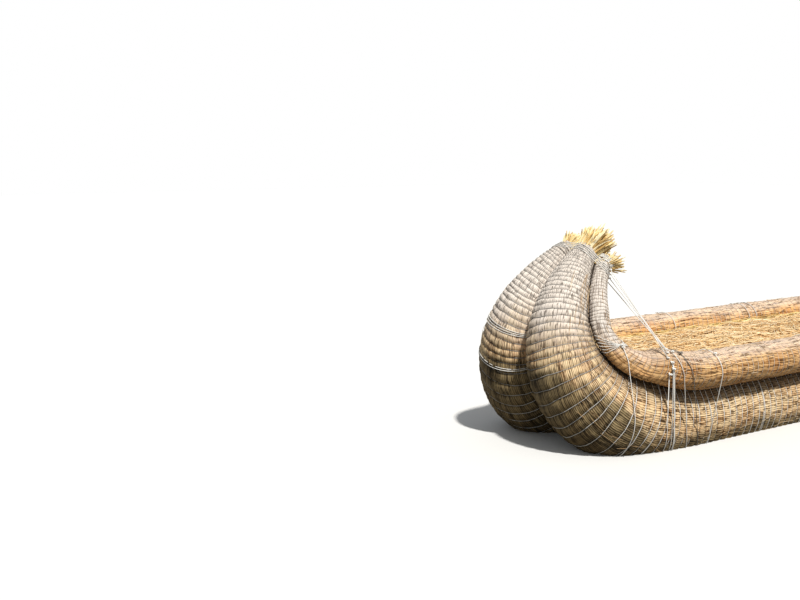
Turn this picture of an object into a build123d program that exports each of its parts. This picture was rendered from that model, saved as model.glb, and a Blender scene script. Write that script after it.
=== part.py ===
"""A lake boat built of dry reed: two fat hull bundles side by side, drawn together over a slim heart bundle,
with a slimmer gunwale bundle seated on the outer shoulder of each. All of them curl up and back at both ends,
where rope collars gather them and their cut ends splay out as tufts. A bed of loose reed covers the hull between
the gunwales, cords lash each gunwale down round its hull bundle, and stays draw the curled ends back.

+X is forward, +Y is port and +Z is up. The origin is on the ground under the middle of the hull.
Every section of the boat lies in a plane square to one curve, the spine, which runs along the middle of the hull
at the height of the hull bundles' centres. A place in such a plane is (y, n): y to port, and n inwards and up.
"""

import os
from math import acos, atan2, ceil, cos, degrees, hypot, pi, radians, sin, sqrt, tan

from build123d import *

# The spine: a straight middle, and then one row for each bend of a curled end, with its radius and its turn
STRAIGHT_HALF = 1800.0
BENDS = [
    # radius of the spine, degrees turned
    (1650.0, 21.5),
    (440.0, 94.0),
    (840.0, 30.0),
]

# Bundles
HULL_RADIUS = 315.0
HULL_TIP_RADIUS = 72.0
GUNWALE_RADIUS = 120.0
GUNWALE_TIP_RADIUS = 54.0
GUNWALE_LEAN = 41.0  # degrees that the gunwale bundle sits outboard of the hull bundle's inner side
HULL_TAPER_LEAD = 60.0  # how far before the second bend a hull bundle starts to taper
GUNWALE_TAPER_LEAD = 420.0  # how far before the hull bundle a gunwale bundle starts to taper
TAPER_EASE = 0.1  # share of the taper's length in which it sets in
HEART_RADIUS = 60.0
HEART_TIP_RADIUS = 18.0
SEAT = 0.6  # clearance between bundles that lie against each other

# Ribs: a bundle swells between the turns of its lashing. Pitch is measured along the spine.
HULL_RIB_DEPTH = 10.0
HULL_RIB_PITCH = {"middle": 86.0, "bends": (77.0, 60.0, 44.0)}
GUNWALE_RIB_DEPTH = 5.0
GUNWALE_RIB_PITCH = {"middle": 80.0, "bends": (69.0, 72.0, 34.0)}
RIB_SHOULDER = 0.2  # share of a pitch from the bottom of a groove to the shoulder of the rib

# Cordage: rope for the heavy turns and the collars, thinner cord for the lashings and the stays
ROPE_RADIUS = 4.0
ROPE_SEAT = 0.5  # clearance between a rope and the reed it lies on
CORD_RADIUS = 3.0
CORD_SEAT = 2.0  # clearance of a cord's corners, so that its straight runs also clear the reed
CORD_BEND = 0.45  # share of a straight run that the arcs at its corners take at each end
CORD_STEP = 13.0  # most degrees of a bundle that a straight run of cord spans
PLANE_ROUNDS = 20  # rounds of the search for the place where a point on a bundle meets a cord's plane
KNOT_RADIUS = 11.0
CINCH_EVERY = 6  # every sixth groove of a hull bundle holds a heavy turn of rope
COLLAR_TURNS = 4
COLLAR_PITCH = 15.0
COLLAR_INSET = 22.0  # from the end of the bundles to the first turn of the collar

# Lashings of each gunwale at the bow, and the same at the stern. Each lies in one plane, across the boat, that is
# upright or raked; stations are lengths along the spine past the start of the first bend.
LASHINGS = [
    # station over the gunwale's brow, degrees its top leans towards the tip, degrees round the gunwale where it starts
    (-1757.0, 0.0, 190.0),
    (-900.0, 0.0, 190.0),
    (60.0, 3.0, 190.0),
    (455.0, 22.0, 190.0),
    (550.0, 19.0, 190.0),
    (680.0, 14.0, 24.0),
    (715.0, 14.0, 6.0),
    (800.0, 11.0, -12.0),
]
LASHING_BROW = 60.0  # degrees round the gunwale bundle where its station is measured
LASHING_END = -66.0  # degrees round the hull bundle where it is tucked into the reed, under water
THROAT_TURNS = (1142.0, 1172.0)  # turns round the gunwale bundle in the throat of the curl
THROAT_SPAN = (190.0, -100.0)  # degrees round the gunwale bundle where those turns start and end
THROAT_KNOT = 4.0  # degrees round the gunwale bundle where their knot is
THROAT_OVER = (-12.0, -42.0)  # degrees round the gunwale bundle between which the knot's cord lies on it
THROAT_TOUCH = 2.0  # degrees round the hull bundle where that cord meets it
STAY_LANDING = 600.0  # station of the knots at which the stays meet the gunwale bundle
STAYS = [
    # degrees of the upper knot round the tip of the gunwale bundle, degrees of the foot round it at the landing
    (8.0, 33.0),
    (34.0, 53.0),
    (60.0, 72.0),
    (87.0, 90.0),
]

# Deck
DECK_CLEARANCE = 2.0  # between the bed's edge and the gunwale bundle
DECK_EDGE_DROP = 15.0  # how far the bed's edge lies below the tops of the hull bundles
DECK_CAMBER = 38.0  # how much higher the bed's middle is than its edge
DECK_FREE_ANGLE = 4.0  # degrees round a hull bundle that the bed keeps off the heart bundle's contact with it
HEART_FREE_ANGLE = 15.0  # the same round the heart bundle
DECK_OVERRUN = 590.0  # how far the bed runs past the straight middle
DECK_STEPS = 8

# The heap on the bed: armfuls of loose reed, end to end in lanes along the boat. Heights are above the bed.
PILE_INSET = 49.0  # from the bed's edge to the edge of the heap
PILE_OVERRUN = 295.0  # how far the heap runs past the straight middle
PILE_END_LENGTH = 500.0  # over which it thins out towards each end
PILE_STEPS = 12  # half armfuls in half of the straight middle
PILE_OVERRUN_STEPS = 2  # half armfuls past it
PILE_LANES = 4
PILE_CREST = 46.0  # the middle of an armful
PILE_DIP = 24.0  # between two armfuls of one lane
PILE_VALLEY = 18.0  # between two lanes
PILE_TOE = 9.0  # at both ends

# Tufts
HULL_TUFT = {"length": 110.0, "spread": 1.4, "tilt": 0.0, "stalks": 30, "shortest": 45.0, "longest": 125.0}
GUNWALE_TUFT = {"length": 60.0, "spread": 1.3, "tilt": 38.0, "stalks": 18, "shortest": 25.0, "longest": 75.0}
STALK_RADIUS = 6.5
STALK_TIP_RADIUS = 3.5
STALK_INSET = 1.0  # from the edge of the flared butt to the outermost stalks
STALK_LENGTH_STEP = 2.4  # radians from one stalk to the next on the wave that varies their lengths
GOLDEN_ANGLE = pi * (3 - sqrt(5))

BEND_LENGTHS = [radius * radians(turn) for radius, turn in BENDS]
TIP = STRAIGHT_HALF + sum(BEND_LENGTHS)
HULL_TAPER_START = STRAIGHT_HALF + BEND_LENGTHS[0] - HULL_TAPER_LEAD
GUNWALE_TAPER_START = HULL_TAPER_START - GUNWALE_TAPER_LEAD
PORT, STARBOARD = 1, -1


def spine(s):
    """(x, z, slope) of the spine at a length s from midships; the stern half mirrors the bow half."""
    x, z, slope = min(abs(s), STRAIGHT_HALF), HULL_RADIUS, 0.0
    left = abs(s) - STRAIGHT_HALF
    for radius, turn in BENDS:
        if left <= 0:
            break
        step = min(left / radius, radians(turn))
        x += radius * (sin(slope + step) - sin(slope))
        z += radius * (cos(slope) - cos(slope + step))
        slope += step
        left -= radius * radians(turn)
    beyond = max(0.0, left)
    x += beyond * cos(slope)
    z += beyond * sin(slope)
    return (x, z, slope) if s >= 0 else (-x, z, -slope)


def section_plane(s, y=0.0, n=0.0):
    """The plane of the section at s, with its origin at (y, n) of that section."""
    x, z, slope = spine(s)
    origin = (x - n * sin(slope), y, z + n * cos(slope))
    return Plane(origin=origin, x_dir=(0, 1, 0), z_dir=(cos(slope), 0, sin(slope)))


def tapered(s, start, full, tip):
    """A radius that falls from full at start to tip at the end of the bundles, evenly once it has set in."""
    share = min(max((abs(s) - start) / (TIP - start), 0.0), 1.0)
    return full + (tip - full) * share**2 * (1 + TAPER_EASE) / (share + TAPER_EASE)


def hull_radius(s):
    return tapered(s, HULL_TAPER_START, HULL_RADIUS, HULL_TIP_RADIUS)


def gunwale_radius(s):
    return tapered(s, GUNWALE_TAPER_START, GUNWALE_RADIUS, GUNWALE_TIP_RADIUS)


def heart_radius(s):
    return tapered(s, HULL_TAPER_START, HEART_RADIUS, HEART_TIP_RADIUS)


def hull_centre(radius):
    """(y, n) of a port hull bundle of that radius: it lies against its twin in the middle plane."""
    return radius + SEAT / 2, 0.0


def gunwale_centre(hull, gunwale):
    """(y, n) of a port gunwale bundle seated on a hull bundle, both by their radii."""
    reach = hull + gunwale + SEAT
    lean = radians(GUNWALE_LEAN)
    return hull_centre(hull)[0] + reach * sin(lean), reach * cos(lean)


def heart_centre(hull, heart):
    """(y, n) of the heart bundle, which lies in the valley above the two hull bundles."""
    return 0.0, sqrt((hull + heart + SEAT) ** 2 - hull_centre(hull)[0] ** 2)


def grooves(pitch):
    """Stations of the lashing grooves, evenly spaced within the middle and within each bend."""
    spans, start = [], 0.0
    for length, wanted in zip([STRAIGHT_HALF, *BEND_LENGTHS], [pitch["middle"], *pitch["bends"]]):
        count = max(1, round(length / wanted))
        spans += [start + length * i / count for i in range(count)]
        start += length
    collar_length = COLLAR_INSET + COLLAR_TURNS * COLLAR_PITCH
    ahead = [s for s in spans if s < TIP - collar_length]
    return [-s for s in reversed(ahead[1:])] + ahead


HULL_GROOVES = grooves(HULL_RIB_PITCH)
GUNWALE_GROOVES = grooves(GUNWALE_RIB_PITCH)


def rib_stations(valleys):
    """(station, share of the rib depth) along a whole bundle, from the stern tip to the bow tip."""
    gap = valleys[1] - valleys[0]
    first = valleys[0] - gap * RIB_SHOULDER
    stations = [(-TIP, 0.0)] + [(-s, 0.0) for s in collar_stations() if -s < first] + [(first, 0.0)]
    for here, ahead in zip(valleys, valleys[1:]):
        shoulder = (ahead - here) * RIB_SHOULDER
        stations += [(here, 1.0), (here + shoulder, 0.0), (ahead - shoulder, 0.0)]
    stations += [(valleys[-1], 1.0), (valleys[-1] + gap * RIB_SHOULDER, 0.0)]
    stations += [(s, 0.0) for s in reversed(collar_stations()) if s > stations[-1][0]]
    return stations + [(TIP, 0.0)]


def tube(rings):
    """A solid through a row of circles, with a ruled wall between each two and a flat face at each end."""
    walls = [Face.make_surface_from_curves(here, ahead) for here, ahead in zip(rings, rings[1:])]
    return Solid(Shell([*walls, Face(Wire(rings[0])), Face(Wire(rings[-1]))]))


def bundle(valleys, depth, place):
    """A reed bundle with a rib between each two grooves; place gives ((y, n), radius) at a station."""
    rings = []
    for s, share in rib_stations(valleys):
        (y, n), radius = place(s)
        rings.append(Edge.make_circle(radius - depth * share, section_plane(s, y, n)))
    return tube(rings)


def hull_place(s, side):
    y, n = hull_centre(hull_radius(s))
    return (side * y, n), hull_radius(s)


def gunwale_place(s, side):
    y, n = gunwale_centre(hull_radius(s), gunwale_radius(s))
    return (side * y, n), gunwale_radius(s)


def heart_bundle():
    """The heart bundle, which has no ribs: its rings are as close as the hull bundle's ribs where it bends."""
    bends = [s for s in HULL_GROOVES if s >= STRAIGHT_HALF] + [TIP]
    rings = []
    for s in [-s for s in reversed(bends)] + bends:
        centre = heart_centre(hull_radius(s), heart_radius(s))
        rings.append(Edge.make_circle(heart_radius(s), section_plane(s, *centre)))
    return tube(rings)


def point_on(circle, angle):
    """The point at that angle, in degrees from +y towards +n, on a circle ((y, n), radius)."""
    (y, n), radius = circle
    return y + radius * cos(radians(angle)), n + radius * sin(radians(angle))


def arc_on(circle, start, end):
    """An arc on a circle ((y, n), radius) between two angles in degrees, either way round."""
    return ThreePointArc(point_on(circle, start), point_on(circle, (start + end) / 2), point_on(circle, end))


def tangent_angle(first, second):
    """Angle of the outer tangent line from the first circle to the second, on their port side."""
    (y1, n1), r1 = first
    (y2, n2), r2 = second
    along = degrees(atan2(n2 - n1, y2 - y1))
    return along + degrees(acos((r1 - r2) / hypot(y2 - y1, n2 - n1)))


def along(path, radius):
    """A round cord or rope along a path."""
    return sweep(Plane(origin=path @ 0, z_dir=path % 0) * Circle(radius), path=path).solid()


def rounded(points):
    """A path along straight runs, with an arc tangent to both runs at each corner."""
    edges, start = [], points[0]
    for before, corner, after in zip(points, points[1:], points[2:]):
        reach = min((before - corner).length, (after - corner).length) * CORD_BEND
        into = corner + (before - corner).normalized() * reach
        out = corner + (after - corner).normalized() * reach
        edges += [Line(start, into), TangentArc(into, out, tangent=corner - into)]
        start = out
    return Wire([*edges, Line(start, points[-1])])


def groove_seat(radius, depth, half_width):
    """Radius of the middle of a rope laid in a groove of a bundle of that outer radius."""
    lean = atan2(depth, half_width)
    return radius - depth + ROPE_RADIUS / cos(lean) + ROPE_SEAT


def rib_half_width(s):
    """Half width of the hull bundle's groove at s, along the spine."""
    here = HULL_GROOVES.index(s)
    gaps = [abs(HULL_GROOVES[i] - s) for i in (here - 1, here + 1) if 0 <= i < len(HULL_GROOVES)]
    return min(gaps) * RIB_SHOULDER


def bundle_point(place, s, angle, off):
    """The point off that far outside a port bundle, at an angle in degrees in its section at s."""
    centre, radius = place(s, PORT)
    return section_plane(s, *point_on((centre, radius + off), angle)).origin


def plane_point(place, plane, s, angle, off):
    """The same kind of point where it lies in a plane, looked for from s onwards."""
    point = bundle_point(place, s, angle, off)
    for _ in range(PLANE_ROUNDS):
        s += (plane.origin - point).dot(plane.z_dir) / section_plane(s).z_dir.dot(plane.z_dir)
        point = bundle_point(place, s, angle, off)
    return point


def round_bundle(place, plane, s, start, end):
    """Points of a cord that lies in the plane and on a port bundle, between two angles."""
    count = ceil(abs(end - start) / CORD_STEP)
    angles = [start + (end - start) * i / count for i in range(count + 1)]
    return [plane_point(place, plane, s, angle, CORD_RADIUS + CORD_SEAT) for angle in angles]


def knot(centre):
    return Location(centre) * Sphere(KNOT_RADIUS)


def lashing(station, rake, start):
    """A cord from the deck over the port gunwale bundle and down round the hull bundle, and its knot."""
    s, lean = STRAIGHT_HALF + station, radians(rake)
    brow = bundle_point(gunwale_place, s, LASHING_BROW, 0)
    plane = Plane(origin=brow, x_dir=(0, 1, 0), z_dir=(cos(lean), 0, -sin(lean)))
    turn = tangent_angle(gunwale_place(s, PORT), hull_place(s, PORT))
    over = round_bundle(gunwale_place, plane, s, start, turn)
    under = round_bundle(hull_place, plane, s, turn, LASHING_END)
    tie = min(LASHING_BROW, start - 5)
    low, high = (plane_point(gunwale_place, plane, s, tie, CORD_SEAT + CORD_RADIUS + up) for up in (0, KNOT_RADIUS))
    tied = low + (high - low).normalized() * (CORD_RADIUS + KNOT_RADIUS)
    return [along(rounded([*over, *under]), CORD_RADIUS), knot(tied)]


def throat_lashing():
    """The turns round the gunwale bundle in the throat of the curl, their knot, and the cord that hangs from it."""
    pieces = []
    for station in THROAT_TURNS:
        s = STRAIGHT_HALF + station
        seat = (gunwale_place(s, PORT)[0], gunwale_radius(s) + CORD_RADIUS + CORD_SEAT)
        pieces.append(section_plane(s) * along(Wire([arc_on(seat, *THROAT_SPAN)]), CORD_RADIUS))
    s = STRAIGHT_HALF + sum(THROAT_TURNS) / len(THROAT_TURNS)
    tied = bundle_point(gunwale_place, s, THROAT_KNOT, 2 * (CORD_RADIUS + CORD_SEAT) + KNOT_RADIUS)
    upright = Plane(origin=tied, x_dir=(0, 1, 0), z_dir=(1, 0, 0))
    over = round_bundle(gunwale_place, upright, s - GUNWALE_RADIUS, *THROAT_OVER)
    under = round_bundle(hull_place, upright, HULL_TAPER_START, THROAT_TOUCH, LASHING_END)
    start = tied + (over[0] - tied).normalized() * (KNOT_RADIUS + ROPE_SEAT)
    pieces.append(along(rounded([start, *over, *under]), CORD_RADIUS))
    return pieces + [knot(tied)]


def lashings():
    """All lashings of the port side."""
    bow = [shape for row in LASHINGS for shape in lashing(*row)] + throat_lashing()
    return bow + [shape.mirror(Plane.YZ) for shape in bow]


def cinch(s, side):
    """A heavy turn of rope in a groove of a hull bundle."""
    (y, n), radius = hull_place(s, side)
    seat = groove_seat(radius, HULL_RIB_DEPTH, rib_half_width(s))
    return Solid.make_torus(seat, ROPE_RADIUS, section_plane(s, y, n))


def cinch_stations():
    """Grooves that hold a heavy turn, in the straight middle and the first bends."""
    free = [s for s in HULL_GROOVES if abs(s) < HULL_TAPER_START - HULL_RIB_PITCH["middle"]]
    middle = len(free) // 2
    return [s for i, s in enumerate(free) if (i - middle) % CINCH_EVERY == 3]


def collar_turn(s):
    """One turn of the collar round all the bundles."""
    hull = (hull_place(s, PORT)[0], hull_radius(s) + ROPE_RADIUS + ROPE_SEAT)
    gunwale = (gunwale_place(s, PORT)[0], gunwale_radius(s) + ROPE_RADIUS + ROPE_SEAT)
    turn = tangent_angle(gunwale, hull)
    hull_other = (mirror_point(hull[0]), hull[1])
    gunwale_other = (mirror_point(gunwale[0]), gunwale[1])
    path = [
        Line(point_on(hull_other, -90), point_on(hull, -90)),
        arc_on(hull, -90, turn),
        Line(point_on(hull, turn), point_on(gunwale, turn)),
        arc_on(gunwale, turn, 90),
        Line(point_on(gunwale, 90), point_on(gunwale_other, 90)),
        arc_on(gunwale_other, 90, 180 - turn),
        Line(point_on(gunwale_other, 180 - turn), point_on(hull_other, 180 - turn)),
        arc_on(hull_other, 180 - turn, 270),
    ]
    return section_plane(s) * along(Wire(path), ROPE_RADIUS)


def collar_stations():
    return [TIP - COLLAR_INSET - COLLAR_PITCH * i for i in range(COLLAR_TURNS)]


def collar():
    return Compound([collar_turn(s) for s in collar_stations()])


def stays():
    """The stays of the bow, from knots under the collar down to knots on the port gunwale bundle."""
    s = collar_stations()[0]
    solids = []
    for tip_angle, foot_angle in STAYS:
        start = bundle_point(gunwale_place, s, tip_angle, 2 * (ROPE_RADIUS + ROPE_SEAT) + KNOT_RADIUS)
        end = bundle_point(gunwale_place, STRAIGHT_HALF + STAY_LANDING, foot_angle, KNOT_RADIUS + ROPE_SEAT)
        inset = (end - start).normalized() * (KNOT_RADIUS + ROPE_SEAT)
        base = Plane(origin=start + inset, z_dir=inset)
        stay = Solid.make_cylinder(CORD_RADIUS, (end - start - inset - inset).length, base)
        solids += [knot(start), stay, knot(end)]
    return Compound([shape.solid() for shape in solids])


def mirror_point(point):
    return -point[0], point[1]


def deck_edge():
    """(y, n) of the upper edge of the bed, inside the port gunwale bundle."""
    y = gunwale_centre(HULL_RADIUS, GUNWALE_RADIUS)[0]
    return y - GUNWALE_RADIUS - DECK_CLEARANCE, HULL_RADIUS - DECK_EDGE_DROP


def deck_section():
    """Outline of the bed as (y, n): its underside lies on the hull bundles and the heart bundle."""
    hull = (hull_centre(HULL_RADIUS), HULL_RADIUS + SEAT)
    heart = (heart_centre(HULL_RADIUS, HEART_RADIUS), HEART_RADIUS + SEAT)
    other_hull = (mirror_point(hull[0]), hull[1])
    edge = deck_edge()
    edge_angle = degrees(acos((edge[0] - hull[0][0]) / hull[1]))
    contact = degrees(atan2(heart[0][1], -hull[0][0]))
    hull_end, heart_start = contact - DECK_FREE_ANGLE, contact - 180 + HEART_FREE_ANGLE
    edge_foot, valley, shelf = point_on(hull, edge_angle), point_on(hull, hull_end), point_on(heart, heart_start)
    return Wire(
        [
            Line(edge, edge_foot),
            arc_on(hull, edge_angle, hull_end),
            Line(valley, shelf),
            arc_on(heart, heart_start, 180 - heart_start),
            Line(mirror_point(shelf), mirror_point(valley)),
            arc_on(other_hull, 180 - hull_end, 180 - edge_angle),
            Line(mirror_point(edge_foot), mirror_point(edge)),
            ThreePointArc(mirror_point(edge), (0, edge[1] + DECK_CAMBER), edge),
        ]
    )


def deck_bed():
    """The bed of reed, along the straight middle and into both first bends."""
    ahead = [STRAIGHT_HALF + DECK_OVERRUN * i / DECK_STEPS for i in range(DECK_STEPS + 1)]
    outline = deck_section()
    return Solid.make_loft([section_plane(s) * outline for s in [-s for s in reversed(ahead)] + ahead], ruled=True)


def pile_stations():
    """Lengths along the spine of the heap's sections, at the middles and the ends of its armfuls by turns."""
    straight = [STRAIGHT_HALF * i / PILE_STEPS for i in range(1, PILE_STEPS + 1)]
    past = [STRAIGHT_HALF + PILE_OVERRUN * (i + 1) / PILE_OVERRUN_STEPS for i in range(PILE_OVERRUN_STEPS)]
    return [-s for s in reversed(straight + past)] + [0.0] + straight + past


def pile_section(number, s):
    """Outline of the heap at s, with a bow over each lane. A lane that is high has low neighbours."""
    half_width, bed_edge = deck_edge()
    reach = half_width - PILE_INSET
    fullness = min(1.0, (STRAIGHT_HALF + PILE_OVERRUN - abs(s)) / PILE_END_LENGTH)

    def at(share, height):
        y = reach * share
        bed = bed_edge + DECK_CAMBER * (1 - (y / half_width) ** 2)
        return y, bed + SEAT + height

    def lane_height(full):
        return PILE_TOE + (full - PILE_TOE) * fullness

    bounds = [at(1 - 2 * i / PILE_LANES, lane_height(PILE_VALLEY)) for i in range(PILE_LANES + 1)]
    bows = []
    for i in range(PILE_LANES):
        middle = lane_height(PILE_CREST if (number + i) % 2 == 0 else PILE_DIP)
        bows.append(ThreePointArc(bounds[i], at(1 - (2 * i + 1) / PILE_LANES, middle), bounds[i + 1]))
    under = ThreePointArc(at(-1, 0), at(0, 0), at(1, 0))
    return section_plane(s) * Wire([under, Line(at(1, 0), bounds[0]), *bows, Line(bounds[-1], at(-1, 0))])


def deck_pile():
    """The heap of loose reed on the bed."""
    sections = [pile_section(number, s) for number, s in enumerate(pile_stations())]
    return Solid.make_loft(sections, ruled=True)


def tuft(end_circle, spread_circle, size, phase):
    """The splayed ends of one bundle beyond the bow tip: a flared butt with cut stalks standing out of it."""
    (y1, n1), r1 = end_circle
    (y2, n2), r2 = spread_circle
    n2 += size["length"] * tan(radians(size["tilt"]))
    near, far = section_plane(TIP, y1, n1), section_plane(TIP + size["length"], y2, n2)
    shape = tube([Edge.make_circle(r1, near), Edge.make_circle(r2, far)])
    apex = far.origin + (near.origin - far.origin) * (r2 / (r2 - r1))
    pieces = []
    for i in range(size["stalks"]):
        share = sqrt((i + 0.5) / size["stalks"])
        angle = i * GOLDEN_ANGLE + phase
        reach = (r2 - STALK_RADIUS - STALK_INSET) * share
        on_face = far.from_local_coords(Vector(reach * cos(angle), reach * sin(angle), 0))
        away = (on_face - apex).normalized()
        long = size["shortest"] + (size["longest"] - size["shortest"]) * (0.5 + 0.5 * sin(i * STALK_LENGTH_STEP + phase))
        root = Plane(origin=on_face - away * STALK_RADIUS, z_dir=away)
        pieces.append(Solid.make_cone(STALK_RADIUS, STALK_TIP_RADIUS, long + STALK_RADIUS, root))
    return shape.fuse(*pieces).solid()


def tufts():
    """The four tufts of the bow by name."""
    end_hull, end_gunwale = HULL_TIP_RADIUS, GUNWALE_TIP_RADIUS
    far_hull, far_gunwale = end_hull * HULL_TUFT["spread"], end_gunwale * GUNWALE_TUFT["spread"]
    hull = ((hull_centre(end_hull), end_hull), (hull_centre(far_hull), far_hull))
    gunwale = (
        (gunwale_centre(end_hull, end_gunwale), end_gunwale),
        (gunwale_centre(end_hull, far_gunwale), far_gunwale),
    )
    made = {}
    for side, word in ((PORT, "port"), (STARBOARD, "starboard")):
        turned = [[((side * y, n), r) for (y, n), r in pair] for pair in (hull, gunwale)]
        made[f"hull_tuft_{word}"] = tuft(*turned[0], HULL_TUFT, side)
        made[f"gunwale_tuft_{word}"] = tuft(*turned[1], GUNWALE_TUFT, side)
    return made


def to_stern(shape):
    """The same piece at the other end: the boat is double-ended, so half a turn about the Z axis carries it."""
    return shape.rotate(Axis.Z, 180)


def main():
    nodes = {"deck_bed": deck_bed(), "deck_pile": deck_pile()}
    nodes["heart_bundle"] = heart_bundle()
    for side, word in ((PORT, "port"), (STARBOARD, "starboard")):
        nodes[f"hull_bundle_{word}"] = bundle(HULL_GROOVES, HULL_RIB_DEPTH, lambda s: hull_place(s, side))
        nodes[f"gunwale_bundle_{word}"] = bundle(
            GUNWALE_GROOVES, GUNWALE_RIB_DEPTH, lambda s: gunwale_place(s, side)
        )
        nodes[f"hull_cinches_{word}"] = Compound([cinch(s, side) for s in cinch_stations()])
    port_lashings = Compound([shape.solid() for shape in lashings()])
    nodes["gunwale_lashings_port"] = port_lashings
    nodes["gunwale_lashings_starboard"] = port_lashings.mirror(Plane.XZ)
    nodes["bow_collar"] = collar()
    nodes["stern_collar"] = to_stern(collar())
    nodes["bow_stays"] = stays()
    nodes["stern_stays"] = to_stern(stays())
    opposite = {"port": "starboard", "starboard": "port"}
    for name, shape in tufts().items():
        kind, word = name.rsplit("_", 1)
        nodes[f"bow_{name}"] = shape
        nodes[f"stern_{kind}_{opposite[word]}"] = to_stern(shape)
    os.makedirs("parts", exist_ok=True)
    for name, shape in nodes.items():
        export_step(shape, f"parts/{name}.step")


main()
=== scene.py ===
"""The reed boat dressed in reed, straw and cord, on the frame that its CAD model gives.

Metres, +X to the bow, +Y to port. A length s along the boat is measured on the spine, the curve through the
hull bundles' centres, from midships. A place in the section at s is (y, n): y to port, n inwards and up.
"""

from math import atan, radians

import bpy
import numpy as np
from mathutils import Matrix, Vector


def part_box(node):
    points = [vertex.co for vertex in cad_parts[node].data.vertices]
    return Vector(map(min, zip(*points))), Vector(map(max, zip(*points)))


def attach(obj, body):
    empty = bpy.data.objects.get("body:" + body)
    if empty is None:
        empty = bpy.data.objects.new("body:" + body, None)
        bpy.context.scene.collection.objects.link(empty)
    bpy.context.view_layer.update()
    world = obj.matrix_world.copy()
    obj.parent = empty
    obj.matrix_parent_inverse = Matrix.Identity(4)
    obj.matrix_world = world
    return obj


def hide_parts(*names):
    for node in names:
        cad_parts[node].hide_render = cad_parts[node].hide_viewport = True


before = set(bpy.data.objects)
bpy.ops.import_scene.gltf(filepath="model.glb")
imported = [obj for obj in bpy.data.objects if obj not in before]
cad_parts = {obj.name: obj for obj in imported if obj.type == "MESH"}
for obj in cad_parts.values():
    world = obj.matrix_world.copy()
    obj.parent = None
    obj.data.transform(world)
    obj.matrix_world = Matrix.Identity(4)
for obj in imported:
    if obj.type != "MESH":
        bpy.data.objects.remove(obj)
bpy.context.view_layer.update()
pi = np.pi
PORT, STARBOARD = 1, -1
SIDES = ((PORT, "port"), (STARBOARD, "starboard"))

# Sizes of the boat, the same as the CAD model's
BENDS = [(1.65, radians(21.5)), (0.44, radians(94.0)), (0.84, radians(30.0))]
STRAIGHT_HALF = 1.8
HULL_TIP_RADIUS, GUNWALE_TIP_RADIUS, HEART_TIP_RADIUS = 0.072, 0.054, 0.018
GUNWALE_RADIUS, HEART_RADIUS = 0.12, 0.06
GUNWALE_LEAN = radians(41.0)
HULL_TAPER_LEAD, GUNWALE_TAPER_LEAD, TAPER_EASE = 0.06, 0.42, 0.1
WATERLINE = 0.17
DECK_EDGE_DROP, DECK_CAMBER, DECK_OVERRUN = 0.015, 0.038, 0.59
PILE_OVERRUN, PILE_END_LENGTH, PILE_STEPS, PILE_OVERRUN_STEPS, PILE_LANES = 0.295, 0.5, 12, 2, 4
PILE_CREST, PILE_DIP, PILE_VALLEY, PILE_TOE = 0.046, 0.024, 0.018, 0.009

# Cords of the port bow, at the CAD model's places. Stations are past the straight middle, angles in degrees.
CORD_RADIUS, KNOT_RADIUS, CORD_LIFT = 0.003, 0.011, 0.005
LASHINGS = [
    # station over the gunwale's brow, rake, angle round the gunwale where it starts, strands, share of wear
    (-1.757, 0, 190, 1, 0.2),
    (-0.900, 0, 190, 1, 0.1),
    (0.060, 3, 190, 1, 0.0),
    (0.455, 22, 190, 1, 0.8),
    (0.550, 19, 190, 1, 0.0),
    (0.680, 14, 24, 4, 0.0),
    (0.715, 14, 6, 2, 0.0),
    (0.800, 11, -12, 1, 0.0),
]
LASHING_BROW, LASHING_END = 60, -66
STRAND_STEP, STRAND_LEAN = 0.009, 0.7
THROAT_STATION, THROAT_SPAN, THROAT_KNOT, THROAT_OVER, THROAT_TOUCH = 1.157, (190, -100), 4, (-12, -42), 2
THROAT_TURNS, THROAT_FAN = 6, (-0.075, 0.060)
STAY_LANDING = 0.6
STAYS = [
    # angle of the upper knot round the gunwale's tip, angle of the foot round it at the landing
    (8, 33),
    (34, 53),
    (60, 72),
    (87, 90),
]
STAY_TOP_STEP, STAY_FOOT_STEP = 0.012, 0.018
COLLAR_INSET, COLLAR_TURNS, COLLAR_PITCH = 0.022, 4, 0.015
NECK_WRAPS, NECK_PITCH = 6, 0.006
GUNWALE_BRUSH_TILT = 8  # how far the gunwale rolls' stalks turn down beyond their tips

# Other turns of cord round one hull roll
CINCHES = [0.257, 0.771, 1.286, 1.8, 2.264]  # the heavy turns, by their distance from midships
BANDS = [(1.186, 3), (1.024, 2)]  # groups of pale turns: station of the first, turns
BAND_STEP = 0.011

hull_low, hull_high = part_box("hull_bundle_port")
HULL_RADIUS = (hull_high.y - hull_low.y) / 2
DECK_HALF_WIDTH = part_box("deck_bed")[1].y
PILE_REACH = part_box("deck_pile")[1].y
LENGTHS = [radius * turn for radius, turn in BENDS]
TIP = STRAIGHT_HALF + sum(LENGTHS)
HULL_TAPER_START = STRAIGHT_HALF + LENGTHS[0] - HULL_TAPER_LEAD
GUNWALE_TAPER_START = HULL_TAPER_START - GUNWALE_TAPER_LEAD


def spine(s):
    """x, z and slope of the spine at each length s."""
    s = np.asarray(s, float)
    end = np.where(s < 0, -1.0, 1.0)
    x = np.minimum(np.abs(s), STRAIGHT_HALF)
    z, slope = np.full_like(x, HULL_RADIUS), np.zeros_like(x)
    left = np.abs(s) - STRAIGHT_HALF
    for radius, turn in BENDS:
        step = np.clip(left / radius, 0, turn)
        x = x + radius * (np.sin(slope + step) - np.sin(slope))
        z = z + radius * (np.cos(slope) - np.cos(slope + step))
        slope = slope + step
        left = left - radius * turn
    beyond = np.maximum(left, 0)
    return end * (x + beyond * np.cos(slope)), z + beyond * np.sin(slope), end * slope


def place(s, y, n):
    """Points at (y, n) of the sections at s."""
    x, z, slope = spine(s)
    return np.stack([x - n * np.sin(slope), y + 0 * x, z + n * np.cos(slope)], -1)


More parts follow.
